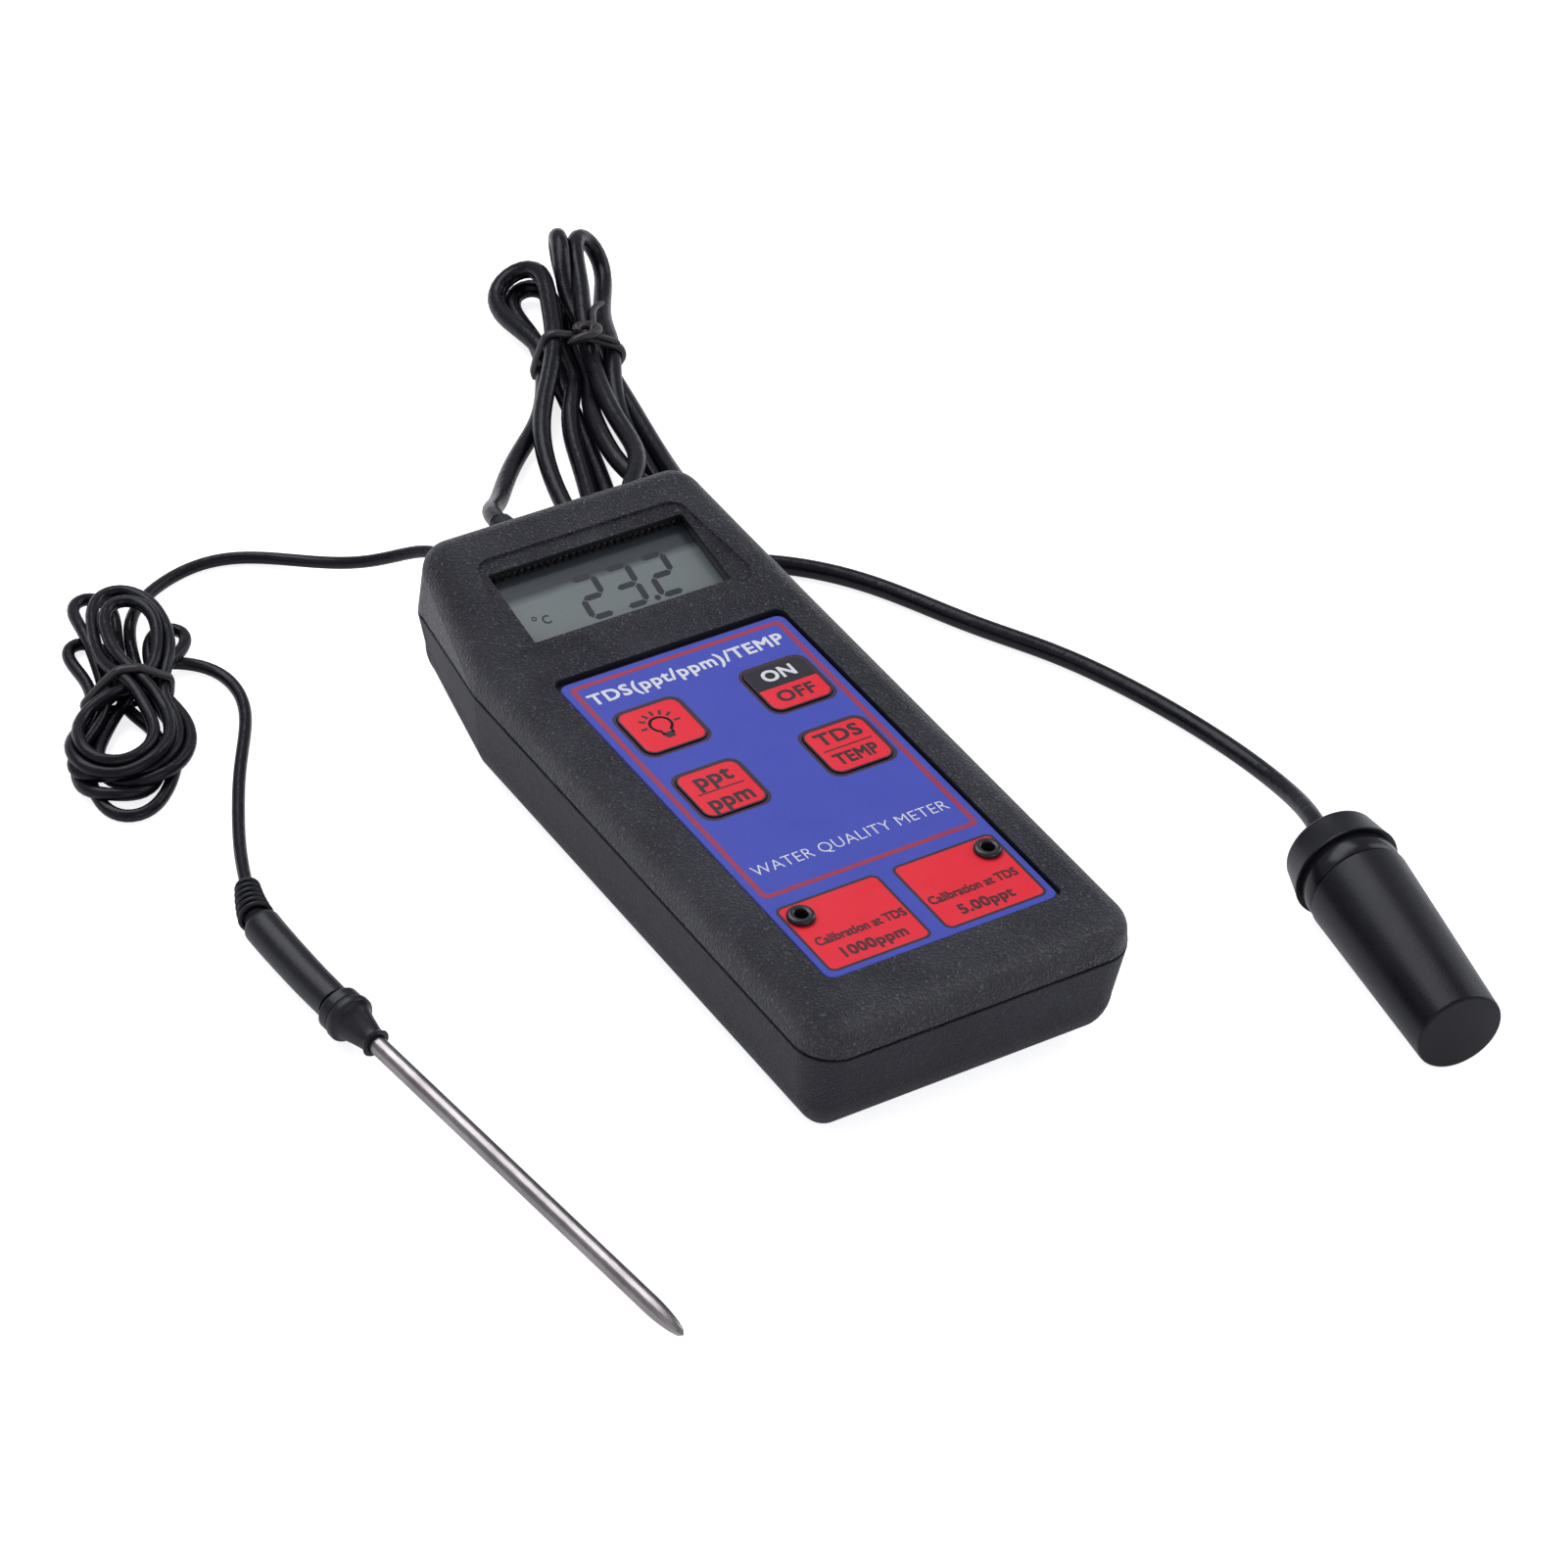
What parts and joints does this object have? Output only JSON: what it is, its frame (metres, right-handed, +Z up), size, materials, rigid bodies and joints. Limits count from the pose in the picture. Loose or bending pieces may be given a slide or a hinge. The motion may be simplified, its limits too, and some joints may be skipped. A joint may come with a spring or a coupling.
{
  "type": "water quality probe",
  "caption": "Hand-held water quality meter with a tilted display and a membrane keypad, a corded dissolved-solids probe and a corded steel needle temperature probe.",
  "frame": {"origin": "centre of the flat underside of the meter's casing, on the surface it rests on", "axes": "+Z up out of the keypad, +Y from the keypad end towards the display end, +X to the right of someone reading the display"},
  "size_m": [0.2398, 0.3526, 0.0409],
  "materials": {
    "casing_plastic": "charcoal, fine grain",
    "overlay_print": "printed blue membrane with a crimson border",
    "key_red": "red, soft sheen",
    "key_black": "red and black printed key",
    "black_trim": "black, semi gloss",
    "display_glass": "grey-green liquid crystal glass",
    "backlight_film": "milky",
    "board_green": "solder mask",
    "chip_black": "moulded black",
    "bright_steel": "bright",
    "brass_screw": "bright",
    "trimmer_blue": "moulded blue",
    "strip_rubber": "conductive rubber strip",
    "battery_jacket": "plain dark jacket",
    "snap_vinyl": "soft black",
    "probe_plastic": "black with a soft sheen",
    "electrode_body_grey": "grey",
    "graphite": "dark grey",
    "handle_rubber": "soft black",
    "lead_jacket": "black jacket with a soft sheen",
    "tie_plastic": "black"
  },
  "bodies": {
    "meter": {"amplifier_chip": "chip_black", "backlight_panel": "backlight_film", "battery": "battery_jacket", "battery_snap": "snap_vinyl", "casing_screw_1": "bright_steel", "casing_screw_2": "bright_steel", "casing_screw_3": "bright_steel", "casing_screw_4": "bright_steel", "circuit_board": "board_green", "contact_strip_lower": "strip_rubber", "contact_strip_upper": "strip_rubber", "display_board": "board_green", "display_glass": "display_glass", "display_holder": "black_trim", "electrode_left": "graphite", "electrode_right": "graphite", "front_casing": "casing_plastic", "keypad_overlay": "overlay_print", "lead_connector": "backlight_film", "meter_chip": "chip_black", "probe_head": "probe_plastic", "probe_insulator": "electrode_body_grey", "probe_lead_gland": "black_trim", "probe_lead_hank": "lead_jacket", "probe_lead_run": "lead_jacket", "probe_lead_tail": "lead_jacket", "probe_lead_tie": "tie_plastic", "probe_seal": "black_trim", "rear_casing": "casing_plastic", "sensing_bead": "chip_black", "sensor_collar": "handle_rubber", "sensor_handle": "handle_rubber", "sensor_lead_gland": "black_trim", "sensor_lead_hank": "lead_jacket", "sensor_lead_run": "lead_jacket", "sensor_lead_tail": "lead_jacket", "sensor_lead_tie": "tie_plastic", "sensor_needle": "bright_steel", "switch_backlight": "chip_black", "switch_mode": "chip_black", "switch_power": "chip_black", "switch_range": "chip_black", "trimmer_bushing_high": "black_trim", "trimmer_bushing_low": "black_trim", "trimmer_high": "trimmer_blue", "trimmer_low": "trimmer_blue"},
    "battery_door_body": {"battery_door": "casing_plastic"},
    "key_backlight_body": {"key_backlight": "key_red"},
    "key_mode_body": {"key_mode": "key_red"},
    "key_power_body": {"key_power": "key_black"},
    "key_range_body": {"key_range": "key_red"},
    "probe_sleeve_body": {"probe_sleeve": "probe_plastic"},
    "trimmer_screw_high_body": {"trimmer_screw_high": "brass_screw"},
    "trimmer_screw_low_body": {"trimmer_screw_low": "brass_screw"}
  },
  "joints": [
    {"name": "press_backlight", "type": "slide", "parent": "meter", "child": "key_backlight_body", "axis": [0, 0, -1], "range_m": [0, 0.0005], "stiffness_N_per_m": 1500},
    {"name": "press_range", "type": "slide", "parent": "meter", "child": "key_range_body", "axis": [0, 0, -1], "range_m": [0, 0.0005], "stiffness_N_per_m": 1500},
    {"name": "press_power", "type": "slide", "parent": "meter", "child": "key_power_body", "axis": [0, 0, -1], "range_m": [0, 0.0005], "stiffness_N_per_m": 1500},
    {"name": "press_mode", "type": "slide", "parent": "meter", "child": "key_mode_body", "axis": [0, 0, -1], "range_m": [0, 0.0005], "stiffness_N_per_m": 1500},
    {"name": "turn_trimmer_low", "type": "hinge", "parent": "meter", "child": "trimmer_screw_low_body", "pos_m": [-0.0234, -0.0554, 0.029], "axis": [0, 0, 1], "range_deg": [-135, 135]},
    {"name": "turn_trimmer_high", "type": "hinge", "parent": "meter", "child": "trimmer_screw_high_body", "pos_m": [0.0236, -0.0554, 0.029], "axis": [0, 0, 1], "range_deg": [-135, 135]},
    {"name": "slide_battery_door", "type": "slide", "parent": "meter", "child": "battery_door_body", "axis": [0, -1, 0], "range_m": [0, 0.058]},
    {"name": "pull_probe_sleeve", "type": "slide", "parent": "meter", "child": "probe_sleeve_body", "axis": [-0.1651, -0.9855, -0.0405], "range_m": [0, 0.05]}
  ]
}
